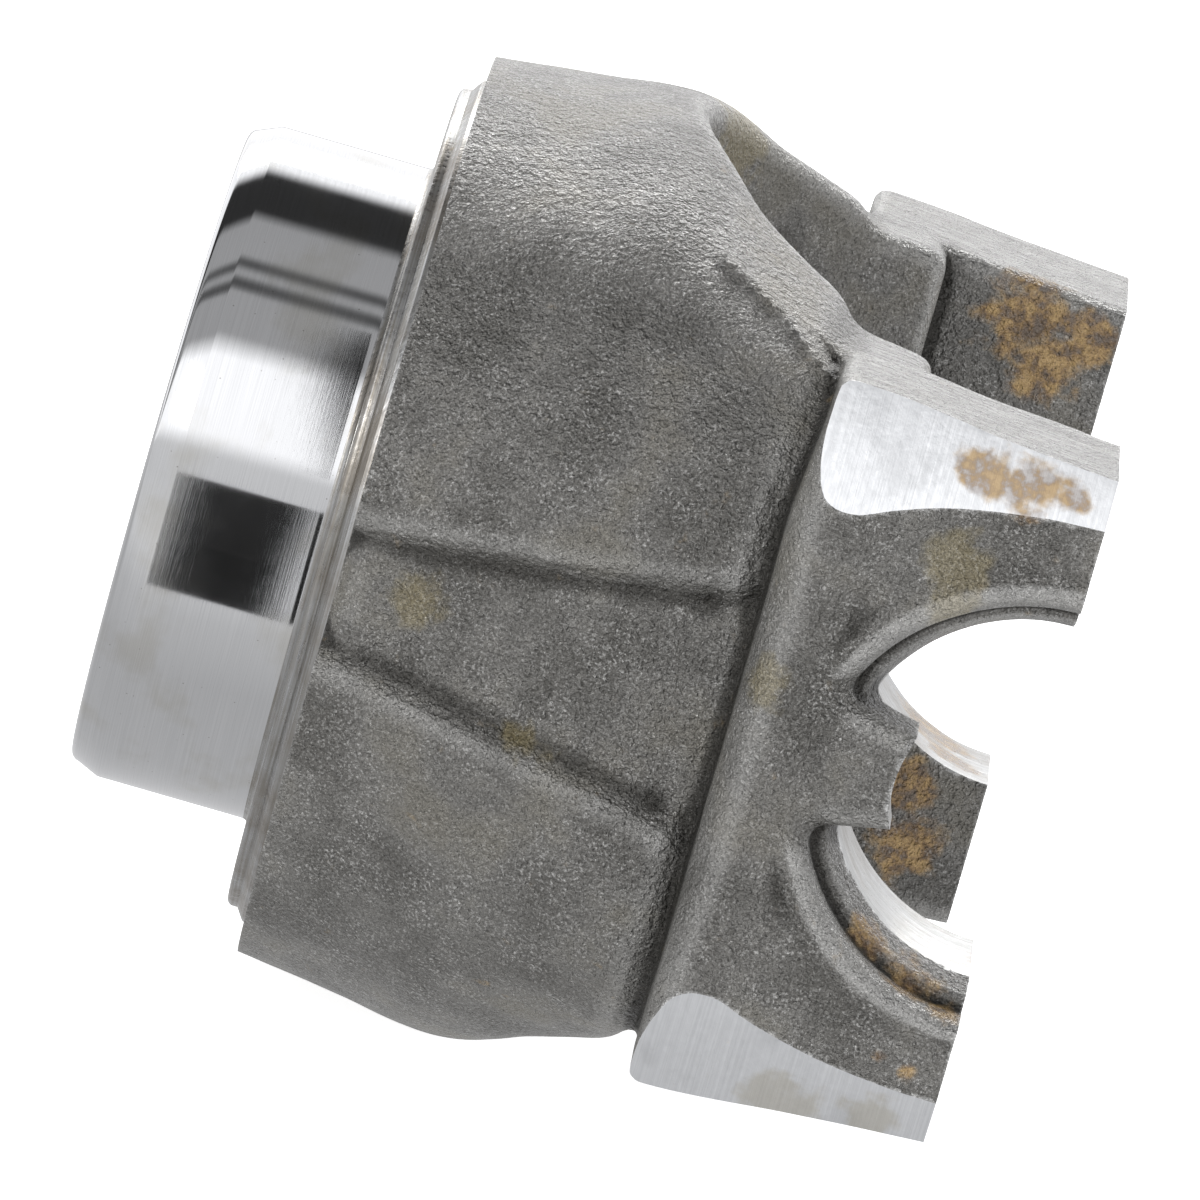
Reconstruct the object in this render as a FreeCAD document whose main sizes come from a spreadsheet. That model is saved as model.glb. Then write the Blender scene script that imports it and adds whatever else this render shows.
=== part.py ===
"""Half-round driveshaft end yoke: one steel forging, machined in places.

The shaft runs along X, from the hub's end at -X to the tips of the ears at X = 0.
Y is the trunnion axis, on which the joint cross lies in the two half-round saddles.
The origin is the centre of the joint: the trunnion axis and the tips share one plane.
Millimetres.  A "station" is a distance along the shaft from the hub's end.
"""
import FreeCAD, Part
import Sketcher
import os

DIMENSIONS = {
    # along the shaft, from the end of the hub
    "overall": 125.0,
    "lead_in_end": 4.3,
    "journal_end": 25.0,
    "ring_face": 26.2,
    "ring_end": 27.8,
    "bell_start": 29.7,
    "belly": 54.0,
    "bell_end": 85.0,
    "heel": 84.5,
    # turned hub and shoulder ring
    "nose_radius": 44.6,
    "lead_in_radius": 45.6,
    "journal_radius": 46.7,
    "fillet_radius": 48.0,
    "ring_radius": 58.7,
    "ring_back_radius": 60.5,
    # forged bell: half-widths along the trunnion axis and half-heights across it
    "bell_half_width": 69.0,
    "bell_half_height": 63.8,
    "belly_half_width": 75.0,
    "belly_half_height": 66.1,
    "mouth_half_width": 80.0,
    "mouth_half_height": 54.5,
    # shoulders, where the bell grows out into the ears
    "shoulder_start": 58.0,
    "shoulder_small_width": 40.0,
    "shoulder_small_height": 45.0,
    "shoulder_width": 80.5,
    "shoulder_height": 45.5,
    # ears
    "ear_half_width": 88.0,
    "ear_half_height": 48.8,
    "swing_radius": 96.7,
    "swing_clear": 130.0,
    "ear_inner": 53.5,
    "throat_radius": 43.5,
    "throat_station": 104.5,
    "gap_station": 99.0,
    # saddles and their retaining tabs
    "saddle_radius": 24.6,
    "cup_span": 154.8,
    "relief_radius": 27.0,
    "lip_radius": 29.5,
    "lip_depth": 4.0,
    "tab_tip": 15.6,
    "tab_root": 30.0,
    "tab_tip_width": 12.8,
    "tab_root_width": 20.0,
    "tab_height": 90.0,
    # tapped holes for the bearing straps
    "strap_span": 131.0,
    "strap_pitch": 74.0,
    "strap_hole_radius": 5.75,
    "strap_hole_depth": 25.0,
    # bore
    "pilot_radius": 28.0,
    "pilot_depth": 8.0,
    "minor_radius": 25.3,
    "major_radius": 27.0,
    "spline_teeth": 39,
    "spline_gap_inner": 2.0,
    "spline_gap_outer": 1.1,
    "spline_flank_run": 0.3,
    "nut_seat_station": 58.0,
    "nut_seat_radius": 33.0,
    "nut_seat_clear": 70.0,
    # wedge-shaped pocket on each side of the bell
    "pocket_small_width": 14.6,
    "pocket_small_floor": 67.0,
    "pocket_large_width": 31.0,
    "pocket_large_floor": 77.0,
    "pocket_clear": 100.0,
    "pocket_end": 83.5,
}
MARGIN = 1.0  # how far a cut starts outside the metal


def make_sheet(doc):
    """Write the driving dimensions into a spreadsheet, one alias for each."""
    sheet = doc.addObject("Spreadsheet::Sheet", "Dims")
    for row, (alias, value) in enumerate(DIMENSIONS.items(), start=1):
        sheet.set(f"A{row}", alias.replace("_", " "))
        sheet.set(f"B{row}", str(value))
        sheet.setAlias(f"B{row}", alias)
    doc.recompute()
    return sheet


def dim(name):
    """The expression that reads one dimension from the sheet."""
    return f"Dims.{name}"


def at(station):
    """The X coordinate of a station, as an expression."""
    return f"(Dims.{station} - Dims.overall)"


def new_sketch(body, name, role, offset=None):
    """A sketch on one of the body's own origin planes, moved along its normal."""
    planes = [f for f in body.Origin.OriginFeatures if f.Role == role]
    sketch = body.newObject("Sketcher::SketchObject", name)
    sketch.AttachmentSupport = [(planes[0], "")]
    sketch.MapMode = "FlatFace"
    if offset is not None:
        sketch.setExpression("AttachmentOffset.Base.z", offset)
    return sketch


def pin_point(sketch, geometry, vertex, across, up):
    """Hold a point at two expressions, measured from the sketch's origin."""
    for kind, expression in (("DistanceX", across), ("DistanceY", up)):
        value = float(sketch.evalExpression(expression))
        index = sketch.addConstraint(
            Sketcher.Constraint(kind, -1, 1, geometry, vertex, value))
        sketch.setExpression(f"Constraints[{index}]", expression)


def polygon(sketch, corners):
    """A closed outline whose corners are pairs of expressions."""
    points = [FreeCAD.Vector(float(sketch.evalExpression(across)),
                             float(sketch.evalExpression(up)), 0)
              for across, up in corners]
    first = sketch.GeometryCount
    count = len(points)
    for i in range(count):
        line = Part.LineSegment(points[i], points[(i + 1) % count])
        sketch.addGeometry(line, False)
    for i in range(count):
        following = first + (i + 1) % count
        sketch.addConstraint(
            Sketcher.Constraint("Coincident", first + i, 2, following, 1))
    for i, (across, up) in enumerate(corners):
        pin_point(sketch, first + i, 1, across, up)


def rectangle(sketch, half_across, half_up):
    """A rectangle centred on the sketch's origin, sized by two expressions."""
    polygon(sketch, [(f"-{half_across}", f"-{half_up}"), (half_across, f"-{half_up}"),
                     (half_across, half_up), (f"-{half_across}", half_up)])


def circle(sketch, radius, across="0", up="0"):
    """A circle whose radius and centre are expressions."""
    centre = FreeCAD.Vector(float(sketch.evalExpression(across)),
                            float(sketch.evalExpression(up)), 0)
    size = float(sketch.evalExpression(radius))
    index = sketch.addGeometry(Part.Circle(centre, FreeCAD.Vector(0, 0, 1), size), False)
    held = sketch.addConstraint(Sketcher.Constraint("Radius", index, size))
    sketch.setExpression(f"Constraints[{held}]", radius)
    pin_point(sketch, index, 3, across, up)


def ellipse(sketch, half_width, half_height):
    """An ellipse centred on the origin, its long axis across the sketch."""
    wide = float(sketch.evalExpression(half_width))
    high = float(sketch.evalExpression(half_height))
    shape = Part.Ellipse(FreeCAD.Vector(wide, 0, 0), FreeCAD.Vector(0, high, 0),
                         FreeCAD.Vector(0, 0, 0))
    index = sketch.addGeometry(shape, False)
    sketch.exposeInternalGeometry(index)
    pin_point(sketch, index, 3, "0", "0")
    sketch.addConstraint(Sketcher.Constraint("Horizontal", index + 1))
    for line, half in ((index + 1, half_width), (index + 2, half_height)):
        length = 2 * float(sketch.evalExpression(half))
        held = sketch.addConstraint(Sketcher.Constraint("Distance", line, length))
        sketch.setExpression(f"Constraints[{held}]", f"2 * {half}")


def finish(feature, sketch):
    """Hide the sketch and recompute the document with the new feature."""
    sketch.Visibility = False
    feature.Document.recompute()
    return feature


def checked(body, feature, before, adds):
    """Stop if a feature has left the volume unchanged or moved it the wrong way."""
    after = body.Shape.Volume
    changed = after > before + 1 if adds else after < before - 1
    if not changed:
        raise RuntimeError(f"{feature.Name} has no effect: {before:.0f} to {after:.0f}")
    return feature


def revolve(body, name, sketch, adds=True):
    """Turn a sketched half-section about the shaft."""
    before = body.Shape.Volume if body.Tip else 0.0
    kind = "Revolution" if adds else "Groove"
    feature = body.newObject(f"PartDesign::{kind}", name)
    feature.Profile = sketch
    feature.ReferenceAxis = (sketch, ["H_Axis"])
    feature.Angle = 360
    finish(feature, sketch)
    return checked(body, feature, before, adds)


def pad(body, name, sketch, length, reversed_=False):
    """Raise a sketch by an expression's length."""
    before = body.Shape.Volume
    feature = body.newObject("PartDesign::Pad", name)
    feature.Profile = sketch
    feature.setExpression("Length", length)
    feature.Reversed = reversed_
    finish(feature, sketch)
    return checked(body, feature, before, True)


def pocket(body, name, sketch, length=None, reversed_=False):
    """Cut a sketch to a depth, or both ways through everything."""
    before = body.Shape.Volume
    feature = body.newObject("PartDesign::Pocket", name)
    feature.Profile = sketch
    if length is None:
        feature.Type = "ThroughAll"
        feature.Midplane = True
    else:
        feature.setExpression("Length", length)
        feature.Reversed = reversed_
    finish(feature, sketch)
    return checked(body, feature, before, False)


def loft(body, name, sketches, adds=True):
    """Blend through a row of sketches."""
    before = body.Shape.Volume if body.Tip else 0.0
    kind = "AdditiveLoft" if adds else "SubtractiveLoft"
    feature = body.newObject(f"PartDesign::{kind}", name)
    feature.Profile = sketches[0]
    feature.Sections = sketches[1:]
    for sketch in sketches[1:]:
        sketch.Visibility = False
    finish(feature, sketches[0])
    return checked(body, feature, before, adds)


def mirror(body, name, feature, adds):
    """Repeat a feature on the other ear."""
    before = body.Shape.Volume
    plane = [f for f in body.Origin.OriginFeatures if f.Role == "XZ_Plane"][0]
    copy = body.newObject("PartDesign::Mirrored", name)
    copy.Originals = [feature]
    copy.MirrorPlane = (plane, [""])
    body.Tip = copy
    body.Document.recompute()
    return checked(body, copy, before, adds)


def turned_core(body):
    """Hub with its ground journal, the shoulder ring and a solid core behind them."""
    end = "(0 - Dims.overall)"
    sketch = new_sketch(body, "CoreSection", "XY_Plane")
    polygon(sketch, [
        (end, "0"),
        (end, dim("nose_radius")),
        (f"{end} + 1", dim("lead_in_radius")),
        (at("lead_in_end"), dim("journal_radius")),
        (at("journal_end"), dim("journal_radius")),
        (at("ring_face"), dim("fillet_radius")),
        (at("ring_face"), dim("ring_radius")),
        (at("ring_end"), dim("ring_radius")),
        (at("bell_start"), dim("ring_back_radius")),
        (at("belly"), dim("ring_back_radius")),
        (at("belly"), "0"),
    ])
    return revolve(body, "TurnedCore", sketch)


def forged_bell(body):
    """Oval bell, widest in height at the belly and in width at its mouth."""
    rows = (("Bell", "bell_start", "bell"), ("Belly", "belly", "belly"),
            ("Mouth", "bell_end", "mouth"))
    sections = []
    for name, station, size in rows:
        sketch = new_sketch(body, f"{name}Section", "YZ_Plane", at(station))
        ellipse(sketch, dim(f"{size}_half_width"), dim(f"{size}_half_height"))
        sections.append(sketch)
    return loft(body, "ForgedBell", sections)


def shoulders(body):
    """Square shoulders that grow out of the bell towards the four lugs."""
    small = new_sketch(body, "ShoulderRoot", "YZ_Plane", at("shoulder_start"))
    rectangle(small, dim("shoulder_small_width"), dim("shoulder_small_height"))
    large = new_sketch(body, "ShoulderEnd", "YZ_Plane", at("bell_end"))
    rectangle(large, dim("shoulder_width"), dim("shoulder_height"))
    return loft(body, "Shoulders", [small, large])


def ears(body):
    """Block of the two ears, turned outside to the joint's swing diameter."""
    sketch = new_sketch(body, "EarOutline", "YZ_Plane", at("heel"))
    rectangle(sketch, dim("ear_half_width"), dim("ear_half_height"))
    pad(body, "EarBlock", sketch, "Dims.overall - Dims.heel")
    swing = new_sketch(body, "SwingSection", "XY_Plane")
    polygon(swing, [
        (at("belly"), dim("swing_radius")),
        (f"{MARGIN}", dim("swing_radius")),
        (f"{MARGIN}", dim("swing_clear")),
        (at("belly"), dim("swing_clear")),
    ])
    return revolve(body, "SwingTurning", swing, adds=False)


def throat(body):
    """Round throat through the bell's mouth and the straight gap between the ears."""
    sketch = new_sketch(body, "ThroatOutline", "XY_Plane")
    circle(sketch, dim("throat_radius"), at("throat_station"), "0")
    pocket(body, "Throat", sketch)
    gap = new_sketch(body, "GapOutline", "XY_Plane")
    polygon(gap, [
        (at("gap_station"), f"-{dim('ear_inner')}"),
        (f"{MARGIN}", f"-{dim('ear_inner')}"),
        (f"{MARGIN}", dim("ear_inner")),
        (at("gap_station"), dim("ear_inner")),
    ])
    return pocket(body, "EarGap", gap)


def saddles(body):
    """Half-round seats for the cups, with forged relief outboard of each."""
    seat = new_sketch(body, "SaddleOutline", "XZ_Plane")
    circle(seat, dim("saddle_radius"))
    pocket(body, "Saddles", seat)
    rows = (("Relief", "relief_radius", "-Dims.cup_span / 2"),
            ("Lip", "lip_radius", "-(Dims.cup_span / 2 + Dims.lip_depth)"))
    for name, radius, offset in rows:
        sketch = new_sketch(body, f"{name}Outline", "XZ_Plane", offset)
        circle(sketch, dim(radius))
        cut = pocket(body, name, sketch, "Dims.ear_inner")
        mirror(body, f"{name}Mirror", cut, adds=False)


def retaining_tabs(body):
    """Tapered tab outboard of each saddle, which stops the cup sliding out."""
    offset = "-Dims.cup_span / 2"
    sketch = new_sketch(body, "TabOutline", "XZ_Plane", offset)
    polygon(sketch, [
        ("-Dims.tab_root", "-Dims.tab_root_width / 2"),
        ("-Dims.tab_tip", "-Dims.tab_tip_width / 2"),
        ("-Dims.tab_tip", "Dims.tab_tip_width / 2"),
        ("-Dims.tab_root", "Dims.tab_root_width / 2"),
    ])
    tab = pad(body, "Tab", sketch, "Dims.tab_height - Dims.cup_span / 2", reversed_=True)
    mirror(body, "TabMirror", tab, adds=True)


def side_pockets(body):
    """Wedge-shaped pocket in each side of the bell, wider and shallower at the ear."""
    sections = []
    rows = (("Small", "bell_start"), ("Large", "pocket_end"))
    for name, station in rows:
        size = name.lower()
        sketch = new_sketch(body, f"Pocket{name}", "YZ_Plane", at(station))
        floor = dim(f"pocket_{size}_floor")
        half = f"Dims.pocket_{size}_width / 2"
        polygon(sketch, [(floor, f"-{half}"), (dim("pocket_clear"), f"-{half}"),
                         (dim("pocket_clear"), half), (floor, half)])
        sections.append(sketch)
    cut = loft(body, "SidePocket", sections, adds=False)
    mirror(body, "SidePocketMirror", cut, adds=False)


def strap_holes(body):
    """Four blind holes in the tips, at the tap-drill size of the strap bolts' thread."""
    sketch = new_sketch(body, "StrapHoleOutline", "YZ_Plane")
    for across in ("-Dims.strap_span / 2", "Dims.strap_span / 2"):
        for up in ("-Dims.strap_pitch / 2", "Dims.strap_pitch / 2"):
            circle(sketch, dim("strap_hole_radius"), across, up)
    return pocket(body, "StrapHoles", sketch, dim("strap_hole_depth"))


def bore(body):
    """Pilot, splined length and the seat for the pinion nut."""
    end = "(0 - Dims.overall)"
    pilot = f"{end} + Dims.pilot_depth"
    sketch = new_sketch(body, "BoreSection", "XY_Plane")
    polygon(sketch, [
        (f"{end} - {MARGIN}", "0"),
        (f"{end} - {MARGIN}", dim("pilot_radius")),
        (pilot, dim("pilot_radius")),
        (pilot, dim("minor_radius")),
        (at("nut_seat_station"), dim("minor_radius")),
        (at("nut_seat_station"), dim("nut_seat_radius")),
        (at("nut_seat_clear"), dim("nut_seat_radius")),
        (at("nut_seat_clear"), "0"),
    ])
    return revolve(body, "Bore", sketch, adds=False)


def spline(body):
    """One tooth space along the bore, repeated all the way round."""
    sketch = new_sketch(body, "ToothSpace", "YZ_Plane", at("nut_seat_station"))
    inner = f"{dim('minor_radius')} - {MARGIN}"
    polygon(sketch, [
        ("-Dims.spline_gap_inner / 2 - Dims.spline_flank_run", inner),
        ("-Dims.spline_gap_outer / 2", dim("major_radius")),
        ("Dims.spline_gap_outer / 2", dim("major_radius")),
        ("Dims.spline_gap_inner / 2 + Dims.spline_flank_run", inner),
    ])
    length = "Dims.nut_seat_station - Dims.pilot_depth"
    space = pocket(body, "SplineSpace", sketch, length)
    before = body.Shape.Volume
    axis = [f for f in body.Origin.OriginFeatures if f.Role == "X_Axis"][0]
    ring = body.newObject("PartDesign::PolarPattern", "Spline")
    ring.Originals = [space]
    ring.Axis = (axis, [""])
    ring.Angle = 360
    ring.setExpression("Occurrences", dim("spline_teeth"))
    body.Tip = ring
    body.Document.recompute()
    return checked(body, ring, before, False)


def make_end_yoke(doc):
    """Build the forging, then machine it in the order a shop would."""
    body = doc.addObject("PartDesign::Body", "EndYoke")
    body.Label = "end_yoke"
    doc.recompute()
    turned_core(body)
    forged_bell(body)
    shoulders(body)
    ears(body)
    side_pockets(body)
    throat(body)
    saddles(body)
    retaining_tabs(body)
    bore(body)
    spline(body)
    strap_holes(body)
    body.Placement = FreeCAD.Placement()
    return body


def check(doc, bodies):
    """Stop on a failed object, or on a body that isn't one valid closed solid."""
    for item in doc.Objects:
        if "Invalid" in item.State or "Error" in item.State:
            raise RuntimeError(f"{item.Name} failed: {item.State}")
    for body in bodies:
        shape = body.Shape
        if shape.isNull() or not shape.isValid() or len(shape.Solids) != 1:
            raise RuntimeError(f"{body.Label} isn't one valid solid")
        box = shape.BoundBox
        print(f"{body.Label}: {shape.Volume / 1000:.1f} cm3, "
              f"{box.XLength:.1f} x {box.YLength:.1f} x {box.ZLength:.1f} mm")


def main():
    doc = FreeCAD.newDocument("DriveshaftEndYoke")
    make_sheet(doc)
    bodies = [make_end_yoke(doc)]
    doc.recompute()
    check(doc, bodies)
    os.makedirs("parts", exist_ok=True)
    for body in bodies:
        body.Shape.exportStep(f"parts/{body.Label}.step")


main()
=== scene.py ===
"""Half-round driveshaft end yoke: the forging is grown as a smooth solid, then machined.

The yoke's lengths are in millimetres until mesh_object() turns them into metres; the
lights and the camera are placed in metres.
x runs along the shaft (0 at the ear tips), y along the trunnion axis, z up.
A "station" s is a distance along the shaft from the hub's end; p and q are |y| and |z|.
"""

import math

import bmesh
import bpy
import numpy as np
from mathutils import Matrix, Vector


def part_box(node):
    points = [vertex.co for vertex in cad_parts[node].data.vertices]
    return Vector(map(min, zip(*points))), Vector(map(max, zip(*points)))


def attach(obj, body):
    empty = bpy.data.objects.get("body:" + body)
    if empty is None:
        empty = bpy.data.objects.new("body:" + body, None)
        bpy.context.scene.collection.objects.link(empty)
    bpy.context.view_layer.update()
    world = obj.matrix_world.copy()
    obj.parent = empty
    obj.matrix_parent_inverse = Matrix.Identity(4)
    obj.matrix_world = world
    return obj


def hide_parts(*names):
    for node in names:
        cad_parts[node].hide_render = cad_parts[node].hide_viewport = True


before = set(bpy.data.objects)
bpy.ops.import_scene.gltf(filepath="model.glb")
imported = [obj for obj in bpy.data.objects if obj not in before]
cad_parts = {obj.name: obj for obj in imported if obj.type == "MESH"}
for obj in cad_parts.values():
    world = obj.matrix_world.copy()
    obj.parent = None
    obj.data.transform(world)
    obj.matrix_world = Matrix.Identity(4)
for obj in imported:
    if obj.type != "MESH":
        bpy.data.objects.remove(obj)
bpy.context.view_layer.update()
NODE = "end_yoke"
LOW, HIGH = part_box(NODE)
MM = 0.001
LENGTH = (HIGH.x - LOW.x) / MM          # hub end to ear tips

# turned and bored surfaces
JOURNAL_R = 46.7
RING_R = 58.7
RING_FACE = 26.3                        # station of the ring's face
TURNED_END, TURNED_END_R = 29.7, 60.6   # where the lathe stopped on the bell
SWING_R = 96.7
SWING_START = -41                       # x of the first swing cut
SADDLE_R = 24.6
SADDLE_END = 77.4                       # |y| of the saddles' outer ends
TAB_TIP_R = 17.3
MINOR_R, MAJOR_R, PILOT_R = 25.3, 27.0, 28.0
PILOT_DEPTH = 8
TEETH = 39
NUT_SEAT_STATION, NUT_SEAT_R, NUT_RECESS = 58.0, 33.0, 22
STRAP_Y, STRAP_Z, STRAP_R, STRAP_DEPTH = 65.5, 37.0, 5.75, 25.0
STRAP_CHAMFER = 1.8

# forged bell: station, half-width (p), half-height (q), squareness of the oval
BELL = ((20, 66.5, 62.8, 2.1), (30, 69.0, 63.7, 2.15), (46, 73.2, 65.2, 2.25),
        (54, 75.0, 66.1, 2.35), (59, 75.9, 66.1, 2.4), (63, 76.6, 65.1, 2.5),
        (67, 77.2, 63.0, 2.7), (71, 77.9, 60.4, 2.95), (75, 78.5, 58.4, 3.2),
        (84, 80.0, 54.2, 4.0), (98, 81.0, 52.0, 4.5))
HUB_DIP, HUB_DIP_WIDTH = 27.5, 3.6      # the pockets run out deeper beside the ring
POCKET_START, POCKET_HALF, POCKET_FLARE, POCKET_DEPTH = 29, 7.4, 0.152, 4.0
VALLEY, VALLEY_LEAN = 84.2, 2.4         # end of the pads, and how far it leans back
# outer face of an ear: station, p at the lugs, p at the middle
EAR_FACE = ((84, 88.5, 88.5), (89, 90.4, 89.6), (93, 90.6, 89.2), (97, 90.0, 88.3),
            (102, 89.3, 88.9), (110, 88.6, 89.9), (125, 88.0, 90.0), (132, 88.0, 90.0))
# station, half-height of an ear
EAR_SIDE = ((80, 49.6), (92, 49.2), (108, 47.6), (125, 46.3), (132, 45.9))
EAR_INNER = 53.5
HEEL, HEEL_LEAN = 84.8, 1.6             # start of the ear, and how far it leans back
LIP_R = 30.2                            # rolled lip on the face, around the trough
THROAT_R = 43.5
THROAT_STATION = 104.5
THROAT_MOUTH = 98.6                     # station where the gap's flat walls begin
TROUGH_START, TROUGH_FLARE = 76.4, 0.26 # p where the trough meets the bore, its slope
TROUGH_LIP_R, TROUGH_LIP = 28.2, 82.6   # its wide outer part: radius, and p where it starts
TAB_HALF, TAB_NECK, TAB_FLARE = 6.5, 15.5, 0.22         # the tab widens below its neck

GRID = 0.8
FIELD_X, FIELD_Y, FIELD_Z = (-104.0, 4.0), 94.0, 71.0   # the grid's reach
SKIN_SEED = 7
SKIN = ((17.0, 0.22), (6.0, 0.10), (2.6, 0.05))         # spacing and height of the bumps
CREASE = 32                             # degrees between faces at a sharp edge

# the finishes, in the order of the yoke's materials
FORGED, GROUND, TURNED, SWING, BORED, INNER = range(6)

# dried preservative: centre and radius of each patch
RESIDUE = ((-17, -87, 43, 4.6), (-11, -87, 43, 4.6), (-5, -87, 43.5, 3.0),
           (-14, 53.5, 42, 7), (-9, 53.5, 36, 6), (-4, 53.5, 41, 5),
           (-9, 53.5, -36, 6), (-11, 54, -28, 5), (-9, 70, -22, 7), (-6, 62, -24, 5),
           (-7, -84, -24, 5.5), (-14, -83, -20, 4.5), (-2, -86, -27, 3.5),
           (-4.8, -89, -37, 1.7), (-9, -89, -36, 1.3))
FAINT_RESIDUE = ((-18, -89, 31, 5), (-16, -89, 24, 4), (-37, -88, 8, 4),
                 (70 - LENGTH, -66, 30, 6), (40 - LENGTH, -70, 2, 5),
                 (60 - LENGTH, -70, -12, 5), (-30, 50, 20, 8), (-60, 20, 60, 9),
                 (-20, -84, -46, 6), (-8, -85, -45, 5),
                 (16 - LENGTH, -45, 6, 3), (22 - LENGTH, -44, 12, 3))

# panorama of the studio: degrees about the shaft, brightness
STUDIO = ((-179, 0.50), (-120, 0.38), (-70, 0.37), (-45, 0.44), (-25, 0.58), (0, 0.52),
          (12, 0.54), (18, 1.0), (45, 1.0), (53, 0.30), (69, 0.30), (71, 0.07),
          (74, 0.07), (75.5, 0.29), (78, 0.29), (79.5, 0.07), (82, 0.08), (84, 0.30),
          (100, 0.29), (105, 0.025), (126, 0.025), (132, 0.9), (179, 0.9))
WORLD_STRENGTH = 1.5
# black cards: degrees about the shaft, first station, last station
LOW_FLAG = ((-31, 1, 20), (-15, 1, 21), (4, 1.5, 22))
SIDE_FLAG = ((14, 23, 38), (20, 21.5, 38), (30, 19.5, 38), (40, 17.5, 38),
             (50, 16, 38), (56, 17.5, 38), (62, 21, 38))
FLOOR_Z, FLOOR_REACH = -67, 9000
PAPER_GLOW = 0.85
LIT_POINT = (-0.06, 0, 0)               # metres: middle of the yoke


# ---------------------------------------------------------------- solid fields

def smooth_min(a, b, k):
    """Union of two distance fields with a fillet about k wide."""
    blend = np.maximum(k - np.abs(a - b), 0.0) / k
    return np.minimum(a, b) - blend * blend * (k * 0.25)


def smooth_max(a, b, k):
    """Intersection of two distance fields with an edge rounded about k wide."""
    return -smooth_min(-a, -b, k)


def smooth_step(value, low, high):
    """0 below low, 1 above high and an S-curve between them."""
    t = np.clip((value - low) / (high - low), 0.0, 1.0)
    return t * t * (3 - 2 * t)


def hump(value, centre, width):
    """1 at the centre and falling off like a bell curve."""
    return np.exp(-((value - centre) / width) ** 2)


def through(table, column, station):
    """A smooth curve through one column of a table of stations."""
    rows = np.array(table, float)
    xs, ys = rows[:, 0], rows[:, column]
    slopes = np.gradient(ys, xs)
    i = np.clip(np.searchsorted(xs, station) - 1, 0, len(xs) - 2)
    width = xs[i + 1] - xs[i]
    t = np.clip((station - xs[i]) / width, 0, 1)
    return ((2 * t**3 - 3 * t**2 + 1) * ys[i] + (t**3 - 2 * t**2 + t) * width * slopes[i]
            + (3 * t**2 - 2 * t**3) * ys[i + 1] + (t**3 - t**2) * width * slopes[i + 1])


def bell_field(s, p, q):
    """Oval bell whose section grows squarer towards the ears."""
    half_p, half_q, power = (through(BELL, column, s) for column in (1, 2, 3))
    reach = ((p / half_p) ** power + (q / half_q) ** power) ** (1 / power)
    radius = np.sqrt(p * p + q * q)
    return (reach - 1) * radius / np.maximum(reach, 0.05)       # never divides by 0


def side_pocket_field(s, p, q):
    """Wedge between the two pads on each side of the bell."""
    half = POCKET_HALF + (s - POCKET_START) * POCKET_FLARE
    floor = through(BELL, 1, s) - POCKET_DEPTH
    floor -= 3.6 * hump(s, HUB_DIP, HUB_DIP_WIDTH)
    floor -= 0.7 * hump(s, 78.5, 2.6)
    wall = q - half - (p - floor) * 0.32
    return smooth_max(wall, floor - p, 2.4)


def ear_field(s, p, z):
    """Block of one ear with its round heel and its four-sided lugs."""
    q = np.abs(z)
    lug = smooth_step(q, 18.0, 33.0)    # 0 at the middle of the ear, 1 at the lugs
    outer = through(EAR_FACE, 2, s) * (1 - lug) + through(EAR_FACE, 1, s) * lug
    about_pins = np.sqrt((s - LENGTH) ** 2 + q * q)
    outer = outer + 1.0 * hump(about_pins, LIP_R, 1.8) * smooth_step(q, 9.0, 14.0)
    heel = HEEL + HEEL_LEAN * smooth_step(z, 26.0, 48.0)
    side = through(EAR_SIDE, 1, s)
    corner_r, side_r = 5.0 - 1.6 * lug, 1.6
    left, out, top = heel - s + corner_r, p - outer + corner_r, q - side + side_r
    ends = np.sqrt(np.maximum(left, 0) ** 2 + np.maximum(out, 0) ** 2)
    body = ends - corner_r + np.minimum(np.maximum(left, out), 0)
    return smooth_max(body, top - side_r, 2.2)


def throat_field(s, p):
    """Plan of the round throat and of the gap between the ears."""
    round_part = np.sqrt((s - THROAT_STATION) ** 2 + p * p) - THROAT_R
    gap = np.maximum(THROAT_MOUTH - s, p - EAR_INNER)
    return smooth_min(round_part, gap, 1.6)


def trough_field(s, p, q):
    """Forged half-round trough outboard of the saddle, with the tab left standing."""
    x = s - LENGTH
    radius = np.sqrt(x * x + q * q)
    inner = radius - (SADDLE_R + (p - TROUGH_START) * TROUGH_FLARE)
    lip = smooth_max(radius - TROUGH_LIP_R, TROUGH_LIP - p, 1.4)
    trough = smooth_min(inner, lip, 1.2)
    tab = q - (TAB_HALF + np.maximum(-x - TAB_NECK, 0) * TAB_FLARE)
    standing = smooth_max(tab, 76.0 - p, 0.6)
    return smooth_max(trough, -standing, 3.6)


def lattice(shape, spacing, rng):
    """Smooth random bumps on the grid, one value each spacing."""
    out = rng.standard_normal([int(n * GRID / spacing) + 4 for n in shape])
    for axis, n in enumerate(shape):
        place = np.arange(n) * GRID / spacing + 1
        i = place.astype(int)
        t = place - i
        weights = np.stack([(1 - t) ** 3, 3 * t**3 - 6 * t**2 + 4,
                            -3 * t**3 + 3 * t**2 + 3 * t + 1, t**3]) / 6
        out = np.moveaxis(out, axis, 0)
        out = sum(weights[k][:, None, None] * out[i + k - 1] for k in range(4))
        out = np.moveaxis(out, 0, axis)
    return out.astype(np.float32)


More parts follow.
